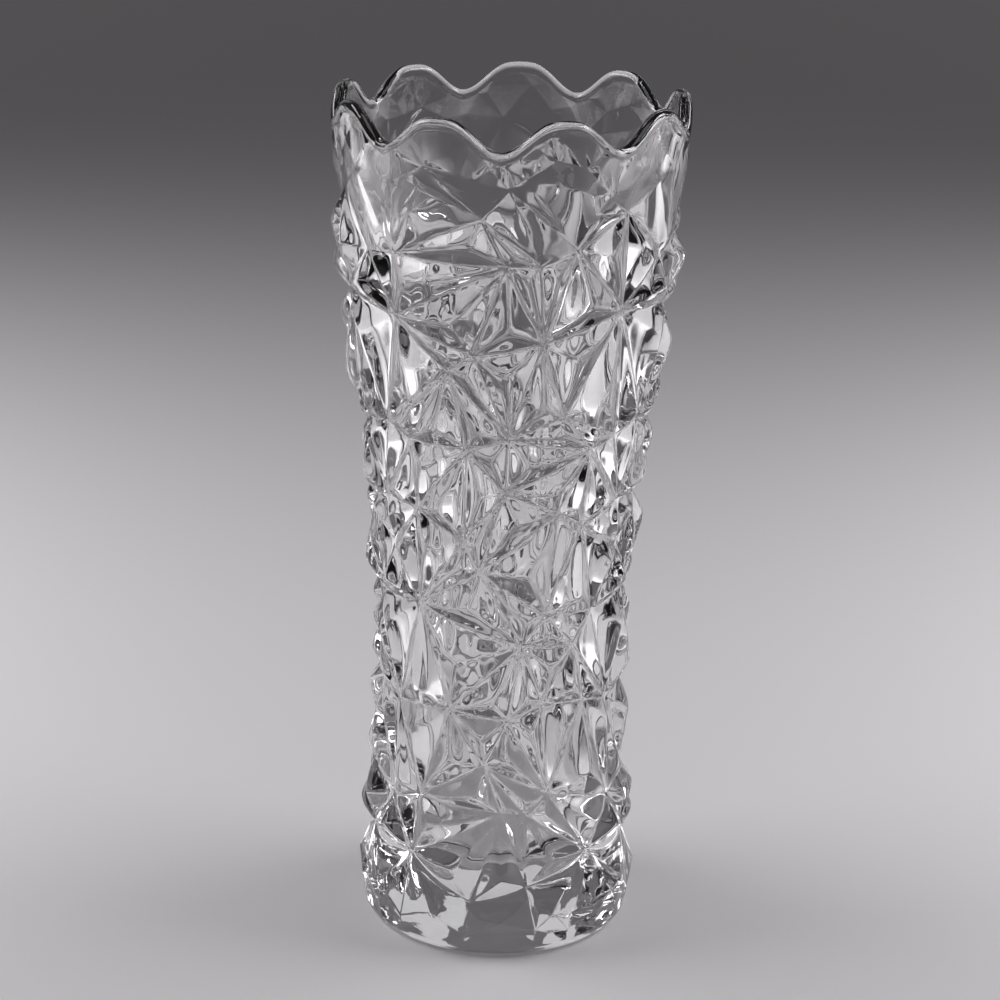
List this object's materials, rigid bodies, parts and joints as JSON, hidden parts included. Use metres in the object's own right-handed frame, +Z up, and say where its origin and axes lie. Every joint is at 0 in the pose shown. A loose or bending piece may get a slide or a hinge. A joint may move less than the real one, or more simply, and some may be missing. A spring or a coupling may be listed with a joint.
{
  "type": "cut glass vase",
  "caption": "Tall tapered flower vase in clear glass with a star-cut faceted outside, a smooth cavity, a thick solid foot and a scalloped rounded rim.",
  "frame": {"origin": "middle of the flat underside, on the vase's axis", "axes": "+Z up along the vase's axis; -Y is the side shown in the picture; +X to that view's right"},
  "size_m": [0.101, 0.101, 0.25],
  "materials": {
    "crystal_glass": "clear, fire-polished"
  },
  "bodies": {
    "root": {"glass_body": "crystal_glass"}
  },
  "joints": []
}
